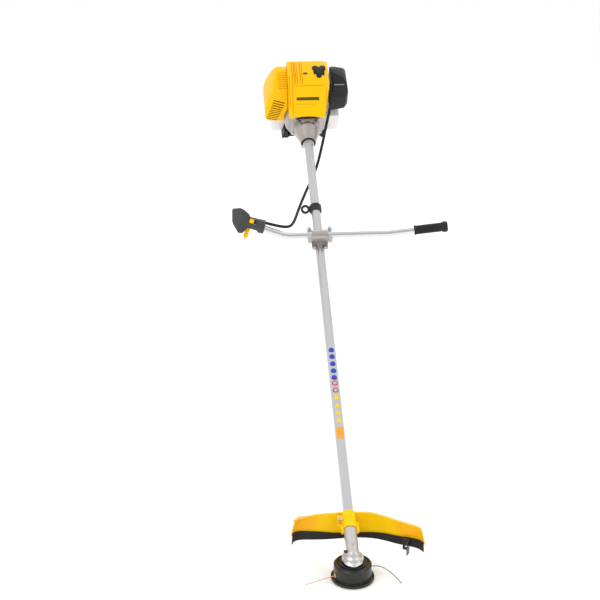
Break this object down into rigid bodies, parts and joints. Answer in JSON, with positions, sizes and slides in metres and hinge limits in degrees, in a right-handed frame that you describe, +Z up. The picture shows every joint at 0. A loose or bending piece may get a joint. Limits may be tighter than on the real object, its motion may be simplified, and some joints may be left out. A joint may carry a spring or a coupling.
{
  "type": "string trimmer",
  "caption": "Petrol string trimmer with a straight drive tube, bull handlebar, line head, curved guard and a small engine.",
  "frame": {"origin": "on the ground under the centre of the line head, where the bump knob touches it", "axes": "+Z up along the line head's axis, +Y towards the engine and the operator, +X to the plain grip's side; the drive tube rises 30 degrees from +Y"},
  "size_m": [0.6516, 1.6264, 1.054],
  "materials": {
    "silver_tube": "satin anodised",
    "cast_alloy": "as cast, blasted",
    "steel": "machined",
    "zinc_steel": "zinc plated",
    "dark_steel": "black painted",
    "chrome_tube": "polished",
    "yellow_plastic": "gloss moulded",
    "black_plastic": "fine grained",
    "grey_plastic": "fine grained",
    "rubber": "moulded",
    "tank_plastic": "translucent white",
    "brass": "turned",
    "line_nylon": "drawn",
    "filter_foam": "open foam",
    "rope": "braided"
  },
  "bodies": {
    "frame": {"air_filter_base": "black_plastic", "air_filter_cover": "black_plastic", "ball_bearings": "steel", "carburettor": "cast_alloy", "clutch_case": "cast_alloy", "crankcase": "cast_alloy", "cylinder": "cast_alloy", "drive_tube": "silver_tube", "engine_stand": "black_plastic", "fan_housing": "cast_alloy", "filter_element": "filter_foam", "fuel_tank": "tank_plastic", "gear_case": "cast_alloy", "guard_apron": "rubber", "guard_shield": "yellow_plastic", "handlebar": "chrome_tube", "handlebar_clamp_base": "cast_alloy", "handlebar_clamp_cap": "cast_alloy", "hanger_clamp": "black_plastic", "line_cutter": "dark_steel", "muffler": "dark_steel", "muffler_cover": "yellow_plastic", "plain_grip": "rubber", "shaft_bushes": "black_plastic", "socket_screws": "zinc_steel", "spark_plug": "steel", "spark_plug_cap": "rubber", "starter_housing": "black_plastic", "throttle_cable": "rubber", "throttle_housing_front": "grey_plastic", "throttle_housing_rear": "grey_plastic", "top_cover": "yellow_plastic", "tube_collar": "cast_alloy", "vibration_ring": "rubber"},
    "crank": {"crankshaft": "steel", "flywheel": "cast_alloy", "clutch_shoes": "steel"},
    "driveline": {"drive_shaft": "steel", "pinion_gear": "steel", "clutch_drum": "steel"},
    "head": {"output_gear": "steel", "blade_flange": "zinc_steel", "head_housing": "black_plastic", "line_eyelets": "brass", "line_tails": "line_nylon", "feed_spring": "steel"},
    "knob": {"bump_knob": "black_plastic"},
    "spool_body": {"spool": "black_plastic", "wound_line": "line_nylon"},
    "piston_body": {"piston": "cast_alloy"},
    "trigger": {"throttle_trigger": "yellow_plastic"},
    "lockout": {"lockout_lever": "grey_plastic"},
    "switch": {"stop_switch": "yellow_plastic"},
    "choke": {"choke_lever": "black_plastic"},
    "primer": {"primer_bulb": "line_nylon"},
    "carb_arm": {"throttle_arm": "zinc_steel"},
    "starter_grip": {"starter_handle": "black_plastic", "starter_rope": "rope"},
    "pulley": {"starter_pulley": "black_plastic"},
    "tank_cap": {"fuel_cap": "black_plastic"}
  },
  "joints": [
    {"name": "head_spin", "type": "hinge", "parent": "frame", "child": "head", "pos_m": [0, 0, 0.03], "axis": [0, 0, 1], "continuous": true},
    {"name": "driveline_spin", "type": "hinge", "parent": "frame", "child": "driveline", "pos_m": [0, 0.60622, 0.4205], "axis": [0, 0.866, 0.5], "continuous": true},
    {"name": "crank_spin", "type": "hinge", "parent": "frame", "child": "crank", "pos_m": [0, 1.42028, 0.8905], "axis": [0, 0.866, 0.5], "continuous": true},
    {"name": "piston_slide", "type": "slide", "parent": "frame", "child": "piston_body", "axis": [0, 0.5, -0.866], "range_m": [0, 0.032]},
    {"name": "bump_feed", "type": "slide", "parent": "head", "child": "knob", "axis": [0, 0, 1], "range_m": [0, 0.006], "stiffness_N_per_m": 1500, "springref_m": -0.004, "deforming": ["feed_spring"]},
    {"name": "spool_turn", "type": "hinge", "parent": "knob", "child": "spool_body", "pos_m": [0, 0, 0.02], "axis": [0, 0, 1], "continuous": true},
    {"name": "trigger_pull", "type": "hinge", "parent": "frame", "child": "trigger", "pos_m": [-0.21998, 0.90779, 0.66419], "axis": [0, -0.9513, 0.3081], "range_deg": [0, 22], "stiffness_Nm_per_rad": 0.5, "springref_deg": -11.46},
    {"name": "lockout_press", "type": "hinge", "parent": "frame", "child": "lockout", "pos_m": [-0.20899, 0.9257, 0.66819], "axis": [-0.2756, -0.2962, -0.9145], "range_deg": [0, 8], "stiffness_Nm_per_rad": 0.3, "springref_deg": -11.46},
    {"name": "stop_switch_slide", "type": "slide", "parent": "frame", "child": "switch", "axis": [0.9613, -0.0849, -0.2622], "range_m": [0, 0.006]},
    {"name": "throttle_arm_turn", "type": "hinge", "parent": "frame", "child": "carb_arm", "pos_m": [0.0645, 1.41825, 0.98401], "axis": [0, -0.5, 0.866], "range_deg": [0, 67]},
    {"name": "choke_turn", "type": "hinge", "parent": "frame", "child": "choke", "pos_m": [0.078, 1.41027, 0.93784], "axis": [-1, 0, 0], "range_deg": [0, 70]},
    {"name": "primer_press", "type": "slide", "parent": "frame", "child": "primer", "axis": [0, -0.5, 0.866], "range_m": [0, 0.005], "stiffness_N_per_m": 400, "springref_m": -0.002},
    {"name": "starter_pull", "type": "slide", "parent": "frame", "child": "starter_grip", "axis": [-1, 0, 0], "range_m": [0, 0.8], "stiffness_N_per_m": 12, "springref_m": -0.4, "deforming": ["starter_rope"]},
    {"name": "pulley_turn", "type": "hinge", "parent": "frame", "child": "pulley", "pos_m": [0, 1.50948, 0.942], "axis": [0, 0.866, 0.5], "range_deg": [-1720, 0]},
    {"name": "fuel_cap_off", "type": "slide", "parent": "frame", "child": "tank_cap", "axis": [0, 0.866, 0.5], "range_m": [0, 0.03]}
  ],
  "couplings": [
    {"joint": "driveline_spin", "follows": "head_spin", "ratio": 1.4167},
    {"joint": "throttle_arm_turn", "follows": "trigger_pull", "ratio": 3},
    {"joint": "pulley_turn", "follows": "starter_pull", "rad_per_m": -37.4}
  ]
}
